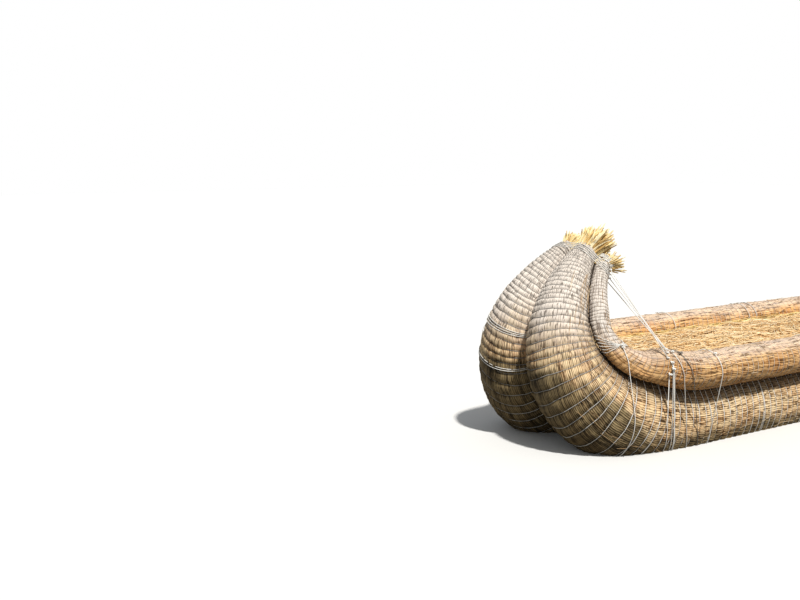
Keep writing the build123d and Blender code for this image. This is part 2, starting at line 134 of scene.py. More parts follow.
def ahead(s):
    """Unit vectors along the spine."""
    slope = spine(s)[2]
    return np.stack([np.cos(slope), 0 * slope, np.sin(slope)], -1)


def tapered(s, start, full, tip):
    share = np.clip((np.abs(s) - start) / (TIP - start), 0, 1)
    return full + (tip - full) * share**2 * (1 + TAPER_EASE) / (share + TAPER_EASE)


def hull_roll(s):
    r = tapered(s, HULL_TAPER_START, HULL_RADIUS, HULL_TIP_RADIUS)
    return r, 0 * r, r


def gunwale_roll(s):
    hull = hull_roll(s)[2]
    r = tapered(s, GUNWALE_TAPER_START, GUNWALE_RADIUS, GUNWALE_TIP_RADIUS)
    return hull + (hull + r) * np.sin(GUNWALE_LEAN), (hull + r) * np.cos(GUNWALE_LEAN), r


def heart_roll(s):
    hull = hull_roll(s)[2]
    r = tapered(s, HULL_TAPER_START, HEART_RADIUS, HEART_TIP_RADIUS)
    return 0 * r, np.sqrt((hull + r) ** 2 - hull**2), r


def wander(angle, turn):
    """How far a wound turn strays from its place, as hand winding does."""
    slow = 0.0022 * np.sin(2 * angle + 0.9 * turn) + 0.0018 * np.sin(5 * angle - 2.3 * turn)
    return slow + 0.0010 * np.sin(11 * angle + 3.7 * turn)


def squared(roll, s, angle):
    """The s of points at angles round a roll, for a turn at s that lies square to the roll where it leans."""
    step = 0.002
    (y0, n0, r0), (y1, n1, r1) = roll(s - step), roll(s + step)
    slope_y, slope_n, r = (y1 - y0) / (2 * step), (n1 - n0) / (2 * step), (r0 + r1) / 2
    return s - r * (slope_y * np.cos(angle) + slope_n * np.sin(angle))


class Turns:
    """The turns of cord wound on a roll: turn number against s, from the pitch along the roll itself."""

    def __init__(self, roll, pitch):
        self.s = np.linspace(-TIP, TIP, 6000)
        y, n, _ = roll(self.s)
        steps = np.linalg.norm(np.diff(place(self.s, y, n), axis=0), axis=1)
        self.length = np.concatenate([[0], np.cumsum(steps)])
        self.length -= self.length[-1] / 2
        middle_pitch = (pitch_at(self.s[:-1], pitch) + pitch_at(self.s[1:], pitch)) / 2
        uneven = 0.10 * np.sin(23 * self.s[1:] + 1) + 0.09 * np.sin(41 * self.s[1:])
        middle_pitch *= 1 + uneven
        self.turn = np.concatenate([[0], np.cumsum(steps / middle_pitch)])
        self.count = int(self.turn[-1])

    def s_of(self, turn):
        return np.interp(turn, self.turn, self.s)

    def length_of(self, s):
        return np.interp(s, self.s, self.length)


def pitch_at(s, pitch):
    """Pitch by place: rows of (distance from midships, pitch)."""
    return np.interp(np.abs(s), [row[0] for row in pitch], [row[1] for row in pitch])


BEND_1, BEND_2, BEND_3 = STRAIGHT_HALF, STRAIGHT_HALF + LENGTHS[0], TIP - LENGTHS[2]
HULL_PITCH = [
    (0, 0.057),
    (BEND_1, 0.058),
    (BEND_2, 0.062),
    (BEND_2 + 0.30, 0.054),
    (BEND_2 + 0.50, 0.037),
    (BEND_3, 0.030),
    (TIP, 0.024),
]
GUNWALE_PITCH = [(0, 0.055), (BEND_1, 0.050), (BEND_2, 0.032), (BEND_3, 0.023), (TIP, 0.020)]
HULL_TURNS = Turns(hull_roll, HULL_PITCH)
GUNWALE_TURNS = Turns(gunwale_roll, GUNWALE_PITCH)
HEART_TURNS = Turns(heart_roll, [(0, 0.12), (TIP, 0.05)])


def waves(seed, count, around, along):
    """Random waves on a roll: whole numbers of crests around it, and wave numbers along it."""
    random = np.random.default_rng(seed)
    return [
        (random.integers(*around), random.uniform(*along) * random.choice([-1, 1]), random.uniform(0, 2 * pi))
        for _ in range(count)
    ]


def relief(rows, angle, length):
    total = 0
    for crests, number, phase in rows:
        total = total + np.sin(crests * angle + number * length + phase)
    return total / np.sqrt(len(rows))


# Rows of a roll's mesh between two turns of its cord: share of the way, and how much the row is pinched
ROW_SHARES = np.array([0.0, 0.17, 0.5, 0.83])
ROW_PINCH = np.array([1.0, 0.32, 0.0, 0.32])


def swell(depth, slim):
    """Depth of the pinches where the roll is slimmed to that share of its full radius."""
    return depth * (0.75 + 0.25 * slim)


def roll_mesh(name, roll, turns, side, seam, around, depth, lump, bunch, seed, crests):
    """A wound roll as a dense mesh, pinched to a depth under each turn of its cord.

    seam is the angle where the grid closes, and around is its number of faces round the roll. lump is the
    height of its broad unevenness, bunch is that of its bunches of stalks, and crests is the least and the
    greatest number of those round it.
    """
    numbers = np.arange(-1, turns.count + 2)
    rows = (numbers[:, None] + ROW_SHARES[None, :]).ravel()
    pinch = np.tile(ROW_PINCH, len(numbers))
    share = np.linspace(0, 1, around + 1)
    turn = rows[:, None] + share[None, :] - 0.5
    inside = (turn.max(1) > 0) & (turn.min(1) < turns.turn[-1])
    rows, pinch, turn = rows[inside], pinch[inside], turn[inside]
    angle = seam + 2 * pi * share[None, :] + 0 * turn
    s = squared(roll, turns.s_of(np.clip(turn, 0, turns.turn[-1])) + wander(angle, turn), angle)
    y, n, r = roll(s)
    length = turns.length_of(s)
    full = r.max()
    slim = np.clip(r / full, 0, 1)
    belly = 1 - pinch[:, None] + 0 * turn
    broad = relief(waves(seed, 9, (1, 6), (0.5, 7.0)), angle, length)
    fine = relief(waves(seed + 1, 12, crests, (0.0, 5.0)), angle, length)
    knuckle = relief(waves(seed + 2, 8, (5, 17), (30.0, 80.0)), angle, length)
    uneven = lump * broad * slim + (0.3 + 0.7 * belly) * bunch * (fine + 0.5 * knuckle)
    r_out = r - swell(depth, slim) * (1 - belly) + uneven
    points = place(s, side * (y + r_out * np.cos(angle)), n + r_out * np.sin(angle))
    k, m = turn.shape
    index = np.arange(k * m).reshape(k, m)
    quads = np.stack([index[:-1, :-1], index[:-1, 1:], index[1:, 1:], index[1:, :-1]], -1).reshape(-1, 4)
    if side == PORT:
        quads = quads[:, ::-1]
    reed = np.stack([share[None, :] * 2 * pi * full + 0 * turn, length, turn], -1)
    zone = np.stack([slim, belly, 0 * s], -1)
    return mesh_object(name, points.reshape(-1, 3), quads, reed=reed, zone=zone)


def mesh_object(name, points, quads, smooth=True, **vectors):
    """An object of points and four-sided faces, with vectors as attributes of its points."""
    mesh = bpy.data.meshes.new(name)
    mesh.vertices.add(len(points))
    mesh.vertices.foreach_set("co", np.ascontiguousarray(points, np.float32).ravel())
    mesh.loops.add(quads.size)
    mesh.loops.foreach_set("vertex_index", np.ascontiguousarray(quads, np.int32).ravel())
    mesh.polygons.add(len(quads))
    mesh.polygons.foreach_set("loop_start", np.arange(0, quads.size, 4, dtype=np.int32))
    mesh.update(calc_edges=True)
    mesh.validate()
    mesh.polygons.foreach_set("use_smooth", np.full(len(mesh.polygons), smooth))
    for key, values in vectors.items():
        layer = mesh.attributes.new(key, "FLOAT_VECTOR", "POINT")
        layer.data.foreach_set("vector", np.ascontiguousarray(values, np.float32).ravel())
    mesh.update()
    obj = bpy.data.objects.new(name, mesh)
    bpy.context.scene.collection.objects.link(obj)
    return obj


def unit(v):
    return v / np.maximum(np.linalg.norm(v, axis=-1, keepdims=True), 1e-12)


def tubes(paths, radii, across=None, wear=0.0, sides=4, seed=0):
    """Tubes along paths (count, points, 3) with radii (count, points): points, quads and their attributes.

    reed holds the share of the girth, the length along it and the tube's tone. zone holds the share of the
    length, 0 and the wear.
    """
    paths = np.asarray(paths, float)
    count, steps, _ = paths.shape
    tangent = unit(np.gradient(paths, axis=1))
    if across is None:
        mean = unit(paths[:, -1] - paths[:, 0] + 1e-9)[:, None, :]
        other = np.where(np.abs(mean[..., 2:3]) > 0.8, np.array([1.0, 0, 0]), np.array([0, 0, 1.0]))
        across = np.cross(mean, other) + 0 * paths
    across = unit(across - (across * tangent).sum(-1, keepdims=True) * tangent)
    up = np.cross(tangent, across)
    turn = 2 * pi * np.arange(sides) / sides
    radii = np.broadcast_to(radii, (count, steps))
    ring = across[:, :, None] * np.cos(turn)[:, None] + up[:, :, None] * np.sin(turn)[:, None]
    points = paths[:, :, None] + ring * radii[:, :, None, None]
    index = np.arange(count * steps * sides).reshape(count, steps, sides)
    over = np.roll(index, -1, axis=2)
    quads = np.stack([index[:, :-1], over[:, :-1], over[:, 1:], index[:, 1:]], -1).reshape(-1, 4)
    if sides == 4:
        quads = np.concatenate([quads, index[:, 0, ::-1], index[:, -1]])
    steps_along = np.cumsum(np.linalg.norm(np.diff(paths, axis=1), axis=2), 1)
    along = np.concatenate([np.zeros((count, 1)), steps_along], 1)
    tone = np.random.default_rng(seed + count).random(count)
    wear = np.broadcast_to(wear, (count, steps))
    flat = np.zeros((count, steps, sides))
    reed = np.stack([flat + turn / (2 * pi), flat + along[:, :, None], flat + tone[:, None, None]], -1)
    zone = np.stack([flat + np.arange(steps)[:, None] / (steps - 1), flat, flat + wear[:, :, None]], -1)
    return points.reshape(-1, 3), quads, reed.reshape(-1, 3), zone.reshape(-1, 3)


def tubes_object(name, groups, sides=4, seed=0):
    """One object of several groups of tubes, each with the paths, the radii and what else tubes takes."""
    points, quads, reed, zone, base = [], [], [], [], 0
    for i, group in enumerate(groups):
        p, q, a, b = tubes(*group, sides=sides, seed=seed + i)
        points.append(p)
        quads.append(q + base)
        reed.append(a)
        zone.append(b)
        base += len(p)
    points, quads, reed, zone = (np.concatenate(rows) for rows in (points, quads, reed, zone))
    return mesh_object(name, points, quads, reed=reed, zone=zone)


class Shader:
    """A material's node tree, with short calls for the nodes used here."""

    def __init__(self, name):
        self.material = bpy.data.materials.new(name)
        self.material.use_nodes = True
        self.tree = self.material.node_tree
        self.tree.nodes.clear()
        self.out = self.tree.nodes.new("ShaderNodeOutputMaterial")
        self.bsdf = self.tree.nodes.new("ShaderNodeBsdfPrincipled")
        self.tree.links.new(self.bsdf.outputs[0], self.out.inputs[0])

    def put(self, socket, value):
        if isinstance(value, bpy.types.NodeSocket):
            self.tree.links.new(value, socket)
        elif isinstance(value, (tuple, list)) and len(value) == 3 and socket.type == "RGBA":
            socket.default_value = (*value, 1)
        else:
            socket.default_value = value

    def node(self, kind, inputs=(), **settings):
        node = self.tree.nodes.new(kind)
        for key, value in settings.items():
            setattr(node, key, value)
        for key, value in dict(inputs).items():
            self.put(node.inputs[key], value)
        return node

    def math(self, operation, a, b=0.0):
        return self.node("ShaderNodeMath", {0: a, 1: b}, operation=operation).outputs[0]

    def mul(self, a, b):
        return self.math("MULTIPLY", a, b)

    def add(self, a, b):
        return self.math("ADD", a, b)

    def split(self, vector):
        return self.node("ShaderNodeSeparateXYZ", {0: vector}).outputs

    def join(self, x, y, z):
        return self.node("ShaderNodeCombineXYZ", {0: x, 1: y, 2: z}).outputs[0]

    def noise(self, vector, scale=1.0, detail=2.0, roughness=0.5):
        inputs = {"Vector": vector, "Scale": scale, "Detail": detail, "Roughness": roughness}
        return self.node("ShaderNodeTexNoise", inputs).outputs[0]

    def white(self, vector):
        return self.node("ShaderNodeTexWhiteNoise", {"Vector": vector}).outputs[0]

    def fit(self, value, low, high, to_low=0.0, to_high=1.0):
        inputs = {0: value, 1: low, 2: high, 3: to_low, 4: to_high}
        return self.node("ShaderNodeMapRange", inputs, interpolation_type="SMOOTHSTEP").outputs[0]

    def mix(self, share, a, b, blend="MIX"):
        node = self.node("ShaderNodeMix", data_type="RGBA", blend_type=blend)
        self.put(node.inputs[0], share)
        self.put(node.inputs[6], a)
        self.put(node.inputs[7], b)
        return node.outputs[2]

    def blend(self, share, a, b):
        node = self.node("ShaderNodeMix", data_type="FLOAT")
        self.put(node.inputs[0], share)
        self.put(node.inputs[2], a)
        self.put(node.inputs[3], b)
        return node.outputs[0]

    def ramp(self, value, stops):
        node = self.node("ShaderNodeValToRGB", {0: value})
        elements = node.color_ramp.elements
        while len(elements) < len(stops):
            elements.new(0.5)
        for element, (position, colour) in zip(elements, stops):
            element.position, element.color = position, (*colour, 1)
        return node.outputs[0]

    def attribute(self, name):
        return self.node("ShaderNodeAttribute", attribute_name=name).outputs[1]

    def finish(self, colour, roughness, bump=None, distance=0.003, strength=0.8, **constants):
        self.put(self.bsdf.inputs["Base Color"], colour)
        self.put(self.bsdf.inputs["Roughness"], roughness)
        for key, value in constants.items():
            self.bsdf.inputs[key.replace("_", " ")].default_value = value
        if bump is not None:
            node = self.node("ShaderNodeBump", {"Height": bump, "Distance": distance, "Strength": strength})
            self.tree.links.new(node.outputs[0], self.bsdf.inputs["Normal"])
        return self.material


def reed_material(
    name, radius, dark, body, light, bleached, bleach, top_bleach, wet_and_shaded, grain, pieces, ribbed, shaded_crease
):
    """Reed stalks laid lengthwise on a roll of that radius: u runs round the roll and v along it.

    dark, body and light are the colours of fresh reed, from its gaps to its brightest stalks, and bleached
    is that of weathered reed. bleach is the heights between which the reed turns pale, and top_bleach is how
    pale its upper side is lower down. With wet_and_shaded the reed is wet and dark at the waterline, and
    towards the ends that dark band climbs the rolls as painted shade, higher on their inner sides. grain is
    stalks per metre of girth, pieces is breaks per metre of stalk, and ribbed is how far the tones follow
    the turns of cord and how deep the painted shade in the grooves under the cord is on fresh reed. Each
    rib carries painted light, paler at its belly and darker towards its pinches. The reed is darkened with
    painted shade and shadow about shaded_crease, the share of the girth where the gunwale roll and the hull
    roll meet.
    """
    m = Shader(name)
    u, v, turn = m.split(m.attribute("reed"))
    slim, belly, _ = m.split(m.attribute("zone"))
    where = m.node("ShaderNodeNewGeometry")
    x, y, z = m.split(where.outputs["Position"])
    facing = m.split(where.outputs["Normal"])[2]
    share = m.mul(u, 1 / (2 * pi * radius))
    rib = m.math("FLOOR", m.add(m.math("SUBTRACT", turn, share), 0.5))

    def stalk_tone(frequency, seed):
        """Stalks side by side with dark gaps between them, each piece of a stalk of its own random tone."""
        drift = m.mul(m.noise(m.join(m.mul(u, 6.0), m.mul(v, 3.0), seed), 1.0, 2.0), 0.06)
        across = m.mul(m.add(u, drift), frequency)
        number = m.math("FLOOR", across)
        from_gap = m.math("PINGPONG", across, 0.5)
        shift = m.white(m.join(number, seed, 0.0))
        part = m.math("FLOOR", m.add(m.mul(v, pieces), m.mul(shift, 9.0)))
        tone = m.blend(ribbed, m.white(m.join(number, part, seed)), m.white(m.join(number, rib, seed)))
        streak = m.noise(m.join(m.mul(across, 0.8), m.mul(v, 1.4 * pieces), seed), 1.0, 2.0, 0.6)
        value = m.add(m.mul(tone, 0.42), m.mul(m.fit(from_gap, 0.0, 0.30), 0.33))
        return m.add(value, m.mul(m.fit(streak, 0.32, 0.68), 0.30))

    thick = m.fit(slim, 0.35, 0.75)
    fine = m.blend(thick, stalk_tone(grain * 0.6, 3.1), stalk_tone(grain, 7.7))
    coarse = m.noise(m.join(m.mul(u, grain * 0.22), m.mul(v, 7.0), 5.2), 1.0, 2.0)
    ribs = m.noise(m.join(m.mul(u, 3.0), 0.0, m.mul(turn, 3.3)), 1.0, 1.0)
    value = m.add(m.mul(fine, 0.80), m.mul(m.fit(coarse, 0.32, 0.68), 0.12))
    value = m.add(value, m.mul(m.math("SUBTRACT", ribs, 0.5), 0.3))
    # Painted light on the ribs: paler at the belly of each rib, darker towards the pinches under the cord.
    value = m.add(value, m.mul(m.math("SUBTRACT", belly, 0.6), 0.16))
    brightest = tuple(min(1, c * 1.18) for c in light)
    colour = m.ramp(value, [(0.26, dark), (0.42, body), (0.57, light), (0.75, brightest)])

    patches = m.noise(m.join(m.mul(u, 5.0), m.mul(v, 3.0), 4.0), 1.0, 3.0, 0.6)
    colour = m.mix(m.fit(patches, 0.42, 0.66, 0.0, 0.55), colour, (0.90, 0.66, 0.46), "MULTIPLY")
    height = m.add(z, m.mul(m.math("SUBTRACT", patches, 0.5), 0.42))
    weathered = m.fit(height, *bleach)
    pale = m.math("MAXIMUM", weathered, m.mul(m.fit(facing, 0.25, 0.95), top_bleach))
    soft = m.fit(m.noise(m.join(m.mul(u, grain * 1.3), m.mul(v, 11.0), 1.7), 1.0, 2.0, 0.6), 0.3, 0.7)
    gap, shaded = (tuple(c * share for c in bleached) for share in (0.2, 0.74))
    faded = m.add(m.mul(value, 0.28), m.mul(soft, 0.62))
    faded = m.ramp(faded, [(0.06, gap), (0.20, shaded), (0.38, bleached)])
    colour = m.mix(m.mul(pale, 0.92), colour, faded)
    breaks = m.noise(m.join(m.mul(u, grain * 0.9), m.mul(v, 2.6 * pieces), 2.0), 1.0, 1.0)
    gaps = m.fit(breaks, 0.555, 0.635, 0.0, 1.0)
    colour = m.mix(m.mul(gaps, m.blend(weathered, 0.7, 0.65)), colour, tuple(c * 0.8 for c in dark))
    # Painted shade in the grooves under the cord, where the roll is pinched: broken here and there, at full
    # strength on weathered reed and at the share ribbed on fresh reed.
    parted = m.fit(m.noise(m.join(m.mul(u, 16.0), 0.0, m.mul(turn, 9.0)), 1.0, 1.0), 0.35, 0.6, 0.45, 1.0)
    depth = m.mul(m.blend(weathered, ribbed, 1.0), parted)
    colour = m.mix(m.mul(m.fit(belly, 0.06, 0.52, 1.0, 0.0), depth), colour, tuple(c * 0.5 for c in dark))
    # Painted shade and shadow where the gunwale roll and the hull roll meet, darkest at that share of the
    # girth; on the hull it takes in the gunwale's painted shadow below.
    distance_to_shade = m.math("ABSOLUTE", m.math("SUBTRACT", share, shaded_crease))
    colour = m.mix(m.fit(distance_to_shade, 0.02, 0.11, 0.85, 0.0), colour, tuple(c * 0.6 for c in dark))
    roughness = 0.75
    if wet_and_shaded:
        # Wet reed is dark at the waterline. Towards the ends the dark band climbs the rolls, higher on their
        # inner sides, as painted shade on the low bow.
        bow = m.fit(m.math("ABSOLUTE", x), STRAIGHT_HALF + 0.40, STRAIGHT_HALF + 0.90)
        bow = m.mul(bow, m.fit(m.math("ABSOLUTE", y), 0.30, 0.62, 0.46, 0.32))
        ragged = m.noise(m.join(m.mul(u, 7.0), m.mul(v, 4.0), 6.0), 1.0, 4.0, 0.65)
        level = m.math("SUBTRACT", z, m.add(m.mul(m.math("SUBTRACT", ragged, 0.5), 0.24), bow))
        soak_and_shade_mask = m.fit(level, WATERLINE + 0.12, WATERLINE + 0.03)
        # Dark tones of wet reed, and of the painted shade on the low bow.
        soak_and_shade_tones = [(0.28, (0.010, 0.010, 0.006)), (0.5, (0.075, 0.055, 0.026)), (0.8, (0.34, 0.25, 0.12))]
        colour = m.mix(m.mul(soak_and_shade_mask, 0.88), colour, m.ramp(value, soak_and_shade_tones))
        roughness = m.blend(soak_and_shade_mask, 0.75, 0.5)
    return m.finish(colour, roughness, m.add(fine, m.mul(coarse, 0.5)), 0.007, 1.0, Specular_IOR_Level=0.2)


def straw_material(name, stops):
    """Loose stalks, each of its own tone, with dark joints and pale cut ends."""
    m = Shader(name)
    around, along, tone = m.split(m.attribute("reed"))
    share = m.split(m.attribute("zone"))[0]
    grain = m.noise(m.join(m.mul(around, 6.0), m.mul(along, 30.0), m.mul(tone, 90.0)), 1.0, 2.0)
    value = m.add(m.mul(tone, 0.75), m.mul(grain, 0.3))
    colour = m.ramp(value, stops)
    joints = m.fit(m.noise(m.join(m.mul(along, 16.0), m.mul(tone, 70.0), 0.0), 1.0, 0.0), 0.66, 0.72)
    colour = m.mix(m.mul(joints, 0.5), colour, (0.20, 0.10, 0.04))
    colour = m.mix(m.fit(share, 0.93, 1.0, 0.0, 0.45), colour, (0.93, 0.84, 0.62))
    return m.finish(colour, 0.62, grain, 0.001, 0.5, Specular_IOR_Level=0.3)


def mat_material(name):
    """The bed of loose reed seen as a whole: patches of stalks that lie this way and that."""
    m = Shader(name)
    where = m.node("ShaderNodeNewGeometry").outputs["Position"]
    cells = m.node("ShaderNodeTexVoronoi", {"Vector": where, "Scale": 9.0, "Randomness": 1.0})
    swing = m.fit(m.split(cells.outputs["Color"])[0], 0.0, 1.0, -0.9, 0.9)
    turned = m.node("ShaderNodeVectorRotate", {"Vector": where, "Angle": swing}, rotation_type="Z_AXIS")
    x, y, z = m.split(turned.outputs[0])
    fine = m.noise(m.join(m.mul(x, 9.0), m.mul(y, 150.0), m.mul(z, 30.0)), 1.0, 2.0, 0.6)
    coarse = m.noise(m.join(m.mul(x, 4.0), m.mul(y, 45.0), m.mul(z, 20.0)), 1.0, 2.0)
    value = m.add(m.mul(m.fit(fine, 0.3, 0.7), 0.6), m.mul(m.fit(coarse, 0.3, 0.7), 0.4))
    stops = [
        (0.12, (0.07, 0.030, 0.010)),
        (0.38, (0.38, 0.21, 0.08)),
        (0.6, (0.80, 0.55, 0.27)),
        (0.9, (0.90, 0.72, 0.42)),
    ]
    patches = m.fit(m.noise(where, 5.0, 3.0), 0.42, 0.62, 0.0, 0.4)
    colour = m.mix(patches, m.ramp(value, stops), (0.80, 0.56, 0.36), "MULTIPLY")
    return m.finish(colour, 0.75, m.add(fine, coarse), 0.006, 0.8, Specular_IOR_Level=0.2)


def cord_material(name, clean, worn):
    """Laid cord: clean where zone.z is 0, weathered where it is 1."""
    m = Shader(name)
    around, along, tone = m.split(m.attribute("reed"))
    wear = m.split(m.attribute("zone"))[2]
    twist = m.add(m.mul(along, 90.0), m.mul(around, 3.0))
    strand = m.math("ABSOLUTE", m.math("SINE", m.mul(twist, pi)))
    dirt = m.noise(m.join(m.mul(along, 9.0), tone, 0.0), 1.0, 3.0)
    colour = m.mix(m.math("MAXIMUM", wear, m.fit(dirt, 0.55, 0.75, 0.0, 0.3)), clean, worn)
    # Painted shade in the grooves between the twisted strands.
    colour = m.mix(m.fit(strand, 0.0, 0.5, 0.2, 0.0), colour, tuple(c * 0.5 for c in worn))
    return m.finish(colour, 0.8, strand, 0.001, 0.6, Specular_IOR_Level=0.2)


hull_reed = reed_material(
    "hull_reed",
    radius=HULL_RADIUS,
    dark=(0.075, 0.038, 0.014),
    body=(0.52, 0.31, 0.14),
    light=(0.87, 0.65, 0.39),
    bleached=(0.95, 0.87, 0.79),
    bleach=(0.70, 1.12),
    top_bleach=0.2,
    wet_and_shaded=True,
    grain=72.0,
    pieces=9.0,
    ribbed=0.5,
    shaded_crease=0.636,
)
gunwale_reed = reed_material(
    "gunwale_reed",
    radius=GUNWALE_RADIUS,
    dark=(0.10, 0.040, 0.012),
    body=(0.53, 0.25, 0.08),
    light=(0.87, 0.54, 0.25),
    bleached=(0.98, 0.92, 0.85),
    bleach=(0.74, 0.95),
    top_bleach=0.5,
    wet_and_shaded=False,
    grain=100.0,
    pieces=3.5,
    ribbed=0.14,
    shaded_crease=0.0,
)
edge_straw = straw_material(
    "edge_straw",
    [
        (0.0, (0.40, 0.22, 0.07)),
        (0.3, (0.80, 0.56, 0.22)),
        (0.65, (0.93, 0.74, 0.34)),
        (1.0, (0.97, 0.87, 0.54)),
    ],
)
deck_straw = straw_material(
    "deck_straw",
    [
        (0.0, (0.34, 0.17, 0.06)),
        (0.3, (0.80, 0.53, 0.25)),
        (0.65, (0.95, 0.74, 0.43)),
        (1.0, (0.98, 0.89, 0.70)),
    ],
)
tuft_straw = straw_material(
    "tuft_straw",
    [
        (0.0, (0.10, 0.05, 0.02)),
        (0.26, (0.72, 0.47, 0.17)),
        (0.5, (0.97, 0.77, 0.38)),
        (1.0, (0.98, 0.91, 0.66)),
    ],
)
loose_reed = straw_material(
    "loose_reed",
    [
        (0.0, (0.16, 0.08, 0.03)),
        (0.3, (0.46, 0.29, 0.14)),
        (0.6, (0.70, 0.51, 0.31)),
        (1.0, (0.90, 0.76, 0.56)),
    ],
)
deck_mat = mat_material("deck_mat")
cord = cord_material("cord", clean=(0.97, 0.96, 0.92), worn=(0.10, 0.070, 0.045))
twine = cord_material("twine", clean=(0.90, 0.76, 0.60), worn=(0.20, 0.14, 0.09))


def dress(obj, material, slot_name, *nodes):
    """The piece rides on the one body, takes the material and stands for the nodes."""
    obj.data.materials.clear()
    obj.data.materials.append(material)
    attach(obj, "root")
    if nodes:
        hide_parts(*nodes)
    return obj


# Rolls
HULL_DEPTH, GUNWALE_DEPTH, HEART_DEPTH = 0.010, 0.0055, 0.003
GUNWALE_SEAM = -pi / 2 - GUNWALE_LEAN
HULL_SEED, GUNWALE_SEED, HEART_SEED = {"port": 40, "starboard": 80}, {"port": 50, "starboard": 90}, 120
for side, word in SIDES:
    hull = roll_mesh(
        f"hull_roll_{word}",
        hull_roll,
        HULL_TURNS,
        side,
        seam=pi,
        around=132,
        depth=HULL_DEPTH,
        lump=0.0024,
        bunch=0.0014,
        seed=HULL_SEED[word],
        crests=(26, 62),
    )
    dress(hull, hull_reed, "reed", f"hull_bundle_{word}")
    gunwale = roll_mesh(
        f"gunwale_roll_{word}",
        gunwale_roll,
        GUNWALE_TURNS,
        side,
        seam=GUNWALE_SEAM,
        around=72,
        depth=GUNWALE_DEPTH,
        lump=0.0020,
        bunch=0.0010,
        seed=GUNWALE_SEED[word],
        crests=(12, 32),
    )
    dress(gunwale, gunwale_reed, "gunwale_reed", f"gunwale_bundle_{word}")
heart = roll_mesh(
    "heart_roll",
    heart_roll,
    HEART_TURNS,
    PORT,
    seam=-pi / 2,
    around=30,
    depth=HEART_DEPTH,
    lump=0.001,
    bunch=0.0006,
    seed=HEART_SEED,
    crests=(6, 14),
)
dress(heart, hull_reed, "reed", "heart_bundle")


def windings(roll, turns, side, seam, segments, radius, depth, wear_from, wear_to):
    """The cord wound on a roll: one long helix that lies in the pinches, and wears from one s to another."""
    first, last = 0.5, turns.count - 0.5
    turn = np.linspace(first, last, int((last - first) * segments))
    angle = seam + 2 * pi * (turn + 0.5)
    s = squared(roll, turns.s_of(turn) + wander(angle, turn), angle)
    y, n, r = roll(s)
    slim = r / r.max()
    lie = r - swell(depth, slim) + radius * 0.7
    path = place(s, side * (y + lie * np.cos(angle)), n + lie * np.sin(angle))
    wear = np.clip((np.abs(s) - wear_from) / (wear_to - wear_from), 0, 0.6)
    thick = radius * (0.8 + 0.2 * slim)
    return path[None], thick[None], ahead(s)[None], wear[None]


def surface(roll, s, angle, off=0.0):
    """Points off that far outside a port roll, at angles in degrees round it."""
    y, n, r = roll(s)
    turn = np.radians(angle)
    return place(s, y + (r + off) * np.cos(turn), n + (r + off) * np.sin(turn))


def in_plane(roll, origin, normal, s, angle, off):
    """The same where they lie in a plane, looked for from s onwards."""
    s = s + 0 * np.asarray(angle, float)
    for _ in range(20):
        miss = ((origin - surface(roll, s, angle, off)) * normal).sum(-1)
        s = s + miss / (ahead(s) * normal).sum(-1)
    return surface(roll, s, angle, off)


def ring(roll, s, off, tilt=0.0, steps=72):
    """A turn of cord round one port roll, as a closed path that leans along it by tilt."""
    angle = np.linspace(0, 360, steps)
    turn = np.radians(angle)
    return surface(roll, squared(roll, s + tilt * np.cos(turn), turn), angle, off)


def band(s, rolls, off, steps=120):
    """A taut turn of cord round several rolls of both sides at once."""
    turn = np.linspace(-pi, pi, steps)
    reach, points = [], []
    for roll in rolls:
        y, n, r = (float(v) for v in roll(np.array(s)))
        for side in (PORT, STARBOARD):
            out_y, out_n = side * y + (r + off) * np.cos(turn), n + (r + off) * np.sin(turn)
            reach.append(out_y * np.cos(turn) + out_n * np.sin(turn))
            points.append(np.stack([out_y, out_n], -1))
    best = np.argmax(reach, axis=0)
    chosen = np.array(points)[best, np.arange(steps)]
    return place(np.full(steps, s), chosen[:, 0], chosen[:, 1])


def strand(path, radius=CORD_RADIUS, wear=0.0):
    """One cord as a group for tubes_object."""
    path = np.asarray(path)[None]
    return path, np.full(path.shape[:2], radius), None, np.full(path.shape[:2], wear)


def knot(centre, radius=KNOT_RADIUS, wear=0.0):
    """A small overhand knot: a trefoil of cord about a point."""
    t = np.linspace(0, 2 * pi, 40)
    across = np.stack([np.sin(t) + 2 * np.sin(2 * t), np.cos(t) - 2 * np.cos(2 * t), -np.sin(3 * t)], -1) / 3
    return strand(centre + radius * across, CORD_RADIUS, wear)


def mirrored(groups, *signs):
    """The groups again with their x, y and z times signs."""
    return [(group[0] * np.array(signs), *group[1:]) for group in groups]


HULL_THREAD, GUNWALE_THREAD, HEAVY_TURN = 0.0027, 0.0018, 0.0030
for side, word in SIDES:
    thread = windings(
        hull_roll,
        HULL_TURNS,
        side,
        seam=pi,
        segments=36,
        radius=HULL_THREAD,
        depth=HULL_DEPTH,
        wear_from=BEND_2 + 0.1,
        wear_to=BEND_2 + 0.5,
    )
    hull_winding = tubes_object(f"hull_winding_{word}", [thread], sides=3)
    dress(hull_winding, cord, "rope", f"hull_cinches_{word}")
    thread = windings(
        gunwale_roll,
        GUNWALE_TURNS,
        side,
        seam=GUNWALE_SEAM,
        segments=22,
        radius=GUNWALE_THREAD,
        depth=GUNWALE_DEPTH,
        wear_from=BEND_1 + 0.5,
        wear_to=BEND_2 + 0.3,
    )
    dress(tubes_object(f"gunwale_winding_{word}", [thread], sides=3), twine, "rope")
    stations = [end * s for s in CINCHES for end in (1, -1)]
    turns = [strand(ring(hull_roll, s, 0.001, 0.012), HEAVY_TURN, 0.25) for s in stations]
    for station, count in BANDS:
        for i in range(count):
            s = -side * (STRAIGHT_HALF + station + BAND_STEP * i)
            turns.append(strand(ring(hull_roll, s, 0.002, 0.004 * (i - 1)), CORD_RADIUS * 0.8))
    dress(tubes_object(f"heavy_turns_{word}", mirrored(turns, 1, side, 1)), cord, "rope")


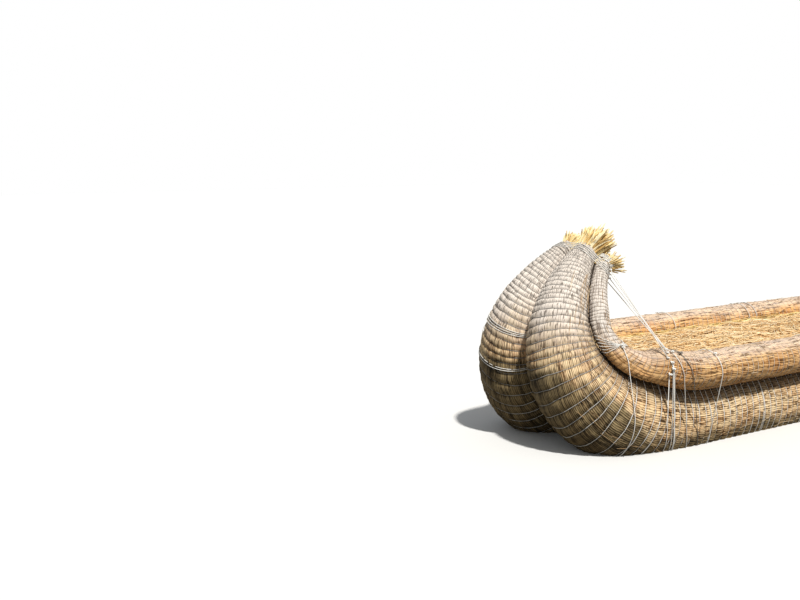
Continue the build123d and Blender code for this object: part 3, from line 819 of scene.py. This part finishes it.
# Lashings, collars and stays
def tangent_angle(s):
    """Degrees round the port gunwale at which a cord leaves it for a straight run to the hull roll."""
    (y1, n1, r1), (y2, n2, r2) = gunwale_roll(s), hull_roll(s)
    return np.degrees(np.arctan2(n2 - n1, y2 - y1) + np.arccos((r1 - r2) / np.hypot(y2 - y1, n2 - n1)))


def over_and_under(origin, normal, s, over, under, under_from):
    """A cord in one plane: over the port gunwale between two angles, then down round the hull roll."""
    over_points = in_plane(gunwale_roll, origin, normal, s, np.linspace(*over, 30), CORD_LIFT)
    under_points = in_plane(hull_roll, origin, normal, under_from, np.linspace(*under, 40), CORD_LIFT)
    return np.concatenate([over_points, under_points])


def lashing(station, rake, start, strands, wear, random):
    """The strands of one lashing of the port bow and their knot."""
    groups = []
    for i in range(strands):
        s = STRAIGHT_HALF + station + STRAND_STEP * (i - (strands - 1) / 2)
        lean = radians(rake + random.normal(0, STRAND_LEAN))
        normal = np.array([np.cos(lean), 0, -np.sin(lean)])
        brow = surface(gunwale_roll, s, LASHING_BROW)
        turn = tangent_angle(s)
        path = over_and_under(brow, normal, s, (start, turn), (turn, LASHING_END), s)
        groups.append(strand(path, wear=wear))
    tie = min(LASHING_BROW, start - 5)
    tied = in_plane(gunwale_roll, brow, normal, s, tie, CORD_LIFT + KNOT_RADIUS * 0.6)
    return [*groups, knot(tied, wear=wear)]


def throat():
    """The turns in the throat of the curl, drawn together at their knot, and the cord that hangs from it."""
    groups = []
    knot_station = STRAIGHT_HALF + THROAT_STATION
    angle = np.linspace(*THROAT_SPAN, 40)
    for i, fan in enumerate(np.linspace(*THROAT_FAN, THROAT_TURNS)):
        s = knot_station + fan * np.clip(np.abs(angle - THROAT_KNOT) / 80, 0, 1)
        groups.append(strand(surface(gunwale_roll, s, angle, CORD_LIFT + 0.001 * (i % 3)), 0.0022, 0.1))
    tied = surface(gunwale_roll, knot_station, THROAT_KNOT, CORD_LIFT + KNOT_RADIUS)
    upright = np.array([1.0, 0, 0])
    touch = (THROAT_TOUCH, LASHING_END)
    start = knot_station - GUNWALE_RADIUS
    fall = over_and_under(tied, upright, start, THROAT_OVER, touch, HULL_TAPER_START)
    groups.append(strand(np.concatenate([tied[None], fall])))
    return [*groups, knot(tied), knot(tied + np.array([0.0, 0.006, -0.012]))]


def stay_cords():
    """The stays of the bow, from knots at the collar down to knots on the port gunwale."""
    groups = []
    for i, (tip_angle, foot_angle) in enumerate(STAYS):
        landing = STRAIGHT_HALF + STAY_LANDING + STAY_FOOT_STEP * (1.5 - i)
        top = surface(gunwale_roll, TIP - COLLAR_INSET - STAY_TOP_STEP * i, tip_angle, 0.014)
        foot = surface(gunwale_roll, landing, foot_angle, 0.008)
        share = np.linspace(0, 1, 6)[:, None]
        groups += [strand(top + (foot - top) * share), knot(top, 0.008), knot(foot, 0.008)]
    return groups


def gunwale_neck(s):
    """The gunwale roll's stalks just beyond its end, where they are tied and turn down."""
    y, n, r = gunwale_roll(s)
    past = np.maximum(np.abs(s) - TIP, 0)
    return y, n + past * np.tan(radians(GUNWALE_BRUSH_TILT)), r + 0.1 * past


def collar_cords():
    """The collar of the bow tip: turns round all four rolls, and wraps on the neck of each gunwale roll."""
    groups = []
    for i in range(COLLAR_TURNS):
        turn = band(TIP - COLLAR_INSET - COLLAR_PITCH * i, (hull_roll, gunwale_roll), 0.003)
        groups.append(strand(turn, 0.0026, 0.15))
    for i in range(NECK_WRAPS):
        wrap = ring(gunwale_neck, TIP + NECK_PITCH * i, 0.003, 0.004 * (i % 3 - 1), 40)
        neck = strand(wrap, 0.0032, 0.08 * (i % 3))
        groups += [neck, *mirrored([neck], 1, -1, 1)]
    return groups


random = np.random.default_rng(11)
bow_lashings = [group for row in LASHINGS for group in lashing(*row, random)] + throat()
port_lashings = bow_lashings + mirrored(bow_lashings, -1, 1, 1)
dress(tubes_object("lashing_cords_port", port_lashings), cord, "rope", "gunwale_lashings_port")
starboard_lashings = mirrored(port_lashings, 1, -1, 1)
dress(tubes_object("lashing_cords_starboard", starboard_lashings), cord, "rope", "gunwale_lashings_starboard")
for end, half_turn in (("bow", (1, 1, 1)), ("stern", (-1, -1, 1))):
    collar = tubes_object(f"collar_cords_{end}", mirrored(collar_cords(), *half_turn))
    dress(collar, cord, "rope", f"{end}_collar")
    stays = tubes_object(f"stay_cords_{end}", mirrored(stay_cords(), *half_turn))
    dress(stays, cord, "rope", f"{end}_stays")


# Tufts
GOLDEN_ANGLE = pi * (3 - np.sqrt(5))
SHORT_SIDE = 0.6  # length of the stalks of a tuft that leans over its neighbour, as a share of the others'


def brush(roll, side, count, thick, reach, flare, tilt, lean, stray, seed):
    """The cut ends of a roll's stalks beyond the bow tip, which spread mostly inwards and lean to port."""
    random = np.random.default_rng(seed)
    y, n, r = (float(v) for v in roll(np.array(TIP)))
    share = np.sqrt((np.arange(count) + 0.5) / count)
    angle = np.arange(count) * GOLDEN_ANGLE + random.normal(0, 0.15, count)
    sideways, inwards = share * np.cos(angle), share * np.sin(angle)
    lean_y = flare * sideways + lean + random.normal(0, stray, count)
    lean_n = flare * np.where(inwards > 0, inwards, 0.3 * inwards) + random.normal(0, stray, count)
    lean_n += np.tan(radians(tilt))
    shorter = (1 - 0.2 * share**2) * np.where(inwards > 0, 1, 1 + 0.3 * inwards)
    long = random.uniform(*reach, count) * shorter
    if side * lean < 0:
        long *= SHORT_SIDE
    bow = random.normal(0, 0.12, (count, 2))
    root = np.full((count, 1), -0.05)
    along = np.concatenate([root, long[:, None] * np.array([0.0, 0.3, 0.65, 1.0])], 1)
    out = np.maximum(along, 0)
    curl = out**2 / long[:, None]
    place_y = side * y + 0.96 * r * sideways[:, None] + lean_y[:, None] * out + bow[:, :1] * curl
    place_n = n + 0.96 * r * inwards[:, None] + lean_n[:, None] * out + bow[:, 1:] * curl
    radii = random.uniform(*thick, count)[:, None] * np.array([1.0, 1.0, 1.0, 0.9, 0.75])
    return place(TIP + along, place_y, place_n), radii


BRUSHES = [
    # kind, roll, stalks, radii, lengths, flare, tilt in degrees, lean to port, stray
    ("hull", hull_roll, 420, (0.0036, 0.0056), (0.115, 0.172), 0.36, -17, 0.17, 0.085),
    ("gunwale", gunwale_roll, 230, (0.0030, 0.0046), (0.07, 0.12), 0.50, GUNWALE_BRUSH_TILT, 0.05, 0.12),
]
for number, (kind, roll, count, thick, reach, flare, tilt, lean, stray) in enumerate(BRUSHES):
    for side, word in SIDES:
        for end, half_turn in (("bow", (1, 1, 1)), ("stern", (-1, -1, 1))):
            seed = 200 + 10 * number + side + 3 * half_turn[0]
            stalks = brush(roll, side * half_turn[1], count, thick, reach, flare, tilt, lean, stray, seed)
            tuft = tubes_object(f"{kind}_brush_{end}_{word}", mirrored([stalks], *half_turn))
            dress(tuft, tuft_straw, "tuft_reed", f"{end}_{kind}_tuft_{word}")


# Deck
DECK_END = STRAIGHT_HALF + DECK_OVERRUN
MAT_HALF_WIDTH = DECK_HALF_WIDTH + 0.007
MAT_TUCK_LENGTH, MAT_TUCK_DROP = 0.12, 0.10
MAT_WAVES, MAT_ROUGHNESS = 26, 0.0030


def heap_height(s, y):
    """Thickness of the heap of loose reed: armfuls in lanes, high and low by turns, as in the CAD model."""
    past = STRAIGHT_HALF + PILE_OVERRUN
    steps = [0, PILE_STEPS, PILE_STEPS + PILE_OVERRUN_STEPS]
    step = np.interp(np.abs(s), [0, STRAIGHT_HALF, past], steps)
    lane = (1 - y / PILE_REACH) * PILE_LANES / 2
    number = np.clip(np.floor(lane), 0, PILE_LANES - 1)
    crest = PILE_DIP + (PILE_CREST - PILE_DIP) * (0.5 + 0.5 * np.cos(pi * (step + number)))
    across = np.clip(2 * (lane - number) - 1, -1, 1)
    height = PILE_VALLEY + (crest - PILE_VALLEY) * (1 - across**2)
    fullness = np.clip((past - np.abs(s)) / PILE_END_LENGTH, 0, 1)
    edge = np.clip((DECK_HALF_WIDTH - np.abs(y)) / (DECK_HALF_WIDTH - PILE_REACH), 0, 1)
    toe = np.clip((past - np.abs(s)) / 0.1 + 1, 0, 1)
    return (PILE_TOE + (height - PILE_TOE) * fullness) * edge * toe


def deck_height(s, y):
    """Height of the smooth reed over the spine. At both ends it tucks down between the rolls."""
    bed = HULL_RADIUS - DECK_EDGE_DROP + DECK_CAMBER * (1 - (y / DECK_HALF_WIDTH) ** 2)
    tuck = np.clip((np.abs(s) - DECK_END) / MAT_TUCK_LENGTH + 1, 0, 1)
    return bed + heap_height(s, y) - MAT_TUCK_DROP * tuck * tuck


def deck_mesh():
    """The upper side of the bed and the heap as one rough surface."""
    s = np.linspace(-DECK_END, DECK_END, 300)[:, None] + np.zeros((1, 60))
    y = np.linspace(-MAT_HALF_WIDTH, MAT_HALF_WIDTH, 60)[None, :] + 0 * s
    random = np.random.default_rng(5)
    rough = 0
    for _ in range(MAT_WAVES):
        a, b, c = random.uniform(3, 40), random.uniform(10, 90), random.uniform(0, 2 * pi)
        rough = rough + np.sin(a * s * random.choice([-1, 1]) + b * y + c)
    points = place(s, y, deck_height(s, y) + MAT_ROUGHNESS * rough / np.sqrt(5))
    k, m = s.shape
    index = np.arange(k * m).reshape(k, m)
    quads = np.stack([index[:-1, :-1], index[1:, :-1], index[1:, 1:], index[:-1, 1:]], -1).reshape(-1, 4)
    return mesh_object("deck_straw_mat", points.reshape(-1, 3), quads)


dress(deck_mesh(), deck_mat, "straw", "deck_bed", "deck_pile")


def lying_stalks(count, s_range, y_range, length, swing, lift, radius, seed):
    """Stalks that lie on the straw, each with a slight bow."""
    random = np.random.default_rng(seed)
    middle_s = random.uniform(*s_range, count)
    middle_y = random.uniform(*y_range, count)
    long = random.uniform(*length, count)
    yaw = random.normal(0, swing, count)
    t = np.linspace(-0.5, 0.5, 4)[None, :]
    s = middle_s[:, None] + long[:, None] * t * np.cos(yaw)[:, None]
    y = middle_y[:, None] + long[:, None] * t * np.sin(yaw)[:, None]
    y = y + random.normal(0, 0.02, count)[:, None] * (4 * t * t - 0.3) * long[:, None]
    y = np.clip(y, -DECK_HALF_WIDTH + 0.006, DECK_HALF_WIDTH - 0.006)
    s = np.clip(s, -DECK_END, DECK_END)
    rise = random.uniform(0, lift, count)[:, None]
    rise = rise + random.normal(0, 0.03, count)[:, None] * t * long[:, None]
    n = deck_height(s, y) + 0.002 + np.clip(rise, -0.001, 1.5 * lift)
    thick = random.uniform(*radius, count)[:, None] * np.array([1.0, 1.0, 0.9, 0.6])
    return place(s, y, n), thick


STRAW_SPAN = (-STRAIGHT_HALF - 0.5, STRAIGHT_HALF + 0.5)
CHOPPED_STRAW = [
    # stalks, their places along and across, lengths, swing, lift, radii, seed
    (3000, STRAW_SPAN, (-0.46, 0.46), (0.06, 0.26), 1.0, 0.008, (0.0022, 0.0038), 21),
    (700, STRAW_SPAN, (-0.40, 0.40), (0.25, 0.5), 0.4, 0.010, (0.0022, 0.0036), 24),
]
EDGE_STRAW = [
    (700, STRAW_SPAN, (0.385, 0.47), (0.4, 0.9), 0.05, 0.016, (0.0028, 0.0044), 22),
    (700, STRAW_SPAN, (-0.47, -0.385), (0.4, 0.9), 0.05, 0.016, (0.0028, 0.0044), 23),
]
chopped = [lying_stalks(*row) for row in CHOPPED_STRAW]
edges = [lying_stalks(*row) for row in EDGE_STRAW]
dress(tubes_object("deck_chopped_straw", chopped, sides=3, seed=3), deck_straw, "straw")
dress(tubes_object("deck_edge_straw", edges, sides=3, seed=8), edge_straw, "straw")


# Loose stalks on the rolls
def lifted_stalks(roll, count, angles, length, lift, seed):
    """Short broken stalks on a port roll, held at one end and lifted a little at the other."""
    random = np.random.default_rng(seed)
    t = np.linspace(0, 1, 4)[None, :]
    start = random.uniform(-TIP + 0.2, TIP - 0.2, count)[:, None]
    long = random.uniform(*length, count)[:, None] * random.choice([-1, 1], (count, 1))
    angle = random.uniform(*angles, count)[:, None] + random.normal(0, 3, (count, 1)) * t
    height = random.uniform(0.2, 1.0, (count, 1)) * lift * t**1.5
    radii = random.uniform(0.0012, 0.0021, (count, 1)) * np.array([1.0, 1.0, 0.9, 0.5])
    return surface(roll, start + long * t, angle, height - 0.001), radii


for side, word in SIDES:
    loose = [
        lifted_stalks(hull_roll, 520, (-45, 60), (0.04, 0.13), 0.010, 30 + side),
        lifted_stalks(gunwale_roll, 360, (-30, 190), (0.04, 0.12), 0.010, 34 + side),
    ]
    loose = mirrored(loose, 1, side, 1)
    dress(tubes_object(f"loose_stalks_{word}", loose, sides=3, seed=40), loose_reed, "reed")


# Stage, light and camera: where the photo's camera stood, its heading from +X, focal length and horizon
CAMERA = Vector((STRAIGHT_HALF + 5.14, 4.83, WATERLINE + 1.8))
CAMERA_YAW = radians(236.19)
FOCAL_PX, HORIZON_PX = 1052.0, 152.0
PHOTO_WIDTH, PHOTO_HEIGHT = 800, 600

camera_data = bpy.data.cameras.new("camera")
camera_data.sensor_width = 36.0
camera_data.lens = camera_data.sensor_width * FOCAL_PX / PHOTO_WIDTH
camera_data.clip_end = 200
camera = bpy.data.objects.new("camera", camera_data)
camera.location = CAMERA
camera.rotation_euler = (pi / 2 - atan((PHOTO_HEIGHT / 2 - HORIZON_PX) / FOCAL_PX), 0, CAMERA_YAW - pi / 2)
bpy.context.scene.collection.objects.link(camera)
bpy.context.scene.camera = camera


def floor():
    """A plain floor at the waterline."""
    reach = 40.0
    corners = [(-reach, -reach), (reach, -reach), (reach, reach), (-reach, reach)]
    points = np.array([(x, y, WATERLINE) for x, y in corners])
    obj = mesh_object("floor", points, np.array([[0, 1, 2, 3]]), smooth=False)
    m = Shader("floor_paint")
    seen = m.node("ShaderNodeLightPath").outputs["Is Camera Ray"]
    m.finish(m.mix(seen, (0.16, 0.15, 0.13), (0.86, 0.86, 0.85)), 0.9, Specular_IOR_Level=0.1)
    obj.data.materials.append(m.material)


floor()

SUN_WAY = Vector((-0.20, -0.72, -1.08))
sun_data = bpy.data.lights.new("sun", "SUN")
sun_data.energy, sun_data.angle, sun_data.color = 3.65, radians(3.0), (1.0, 0.97, 0.92)
sun = bpy.data.objects.new("sun", sun_data)
sun.rotation_euler = SUN_WAY.to_track_quat("-Z", "Y").to_euler()
bpy.context.scene.collection.objects.link(sun)

world = bpy.data.worlds.new("studio")
bpy.context.scene.world = world
world.use_nodes = True
tree = world.node_tree
tree.nodes.clear()
output = tree.nodes.new("ShaderNodeOutputWorld")
both = tree.nodes.new("ShaderNodeMixShader")
seen = tree.nodes.new("ShaderNodeBackground")
felt = tree.nodes.new("ShaderNodeBackground")
path = tree.nodes.new("ShaderNodeLightPath")
seen.inputs[0].default_value, seen.inputs[1].default_value = (1, 1, 1, 1), 1.0
felt.inputs[0].default_value, felt.inputs[1].default_value = (0.92, 0.96, 1.0, 1), 0.35
tree.links.new(path.outputs["Is Camera Ray"], both.inputs[0])
tree.links.new(felt.outputs[0], both.inputs[1])
tree.links.new(seen.outputs[0], both.inputs[2])
tree.links.new(both.outputs[0], output.inputs[0])
bpy.context.scene.view_settings.view_transform = "Standard"
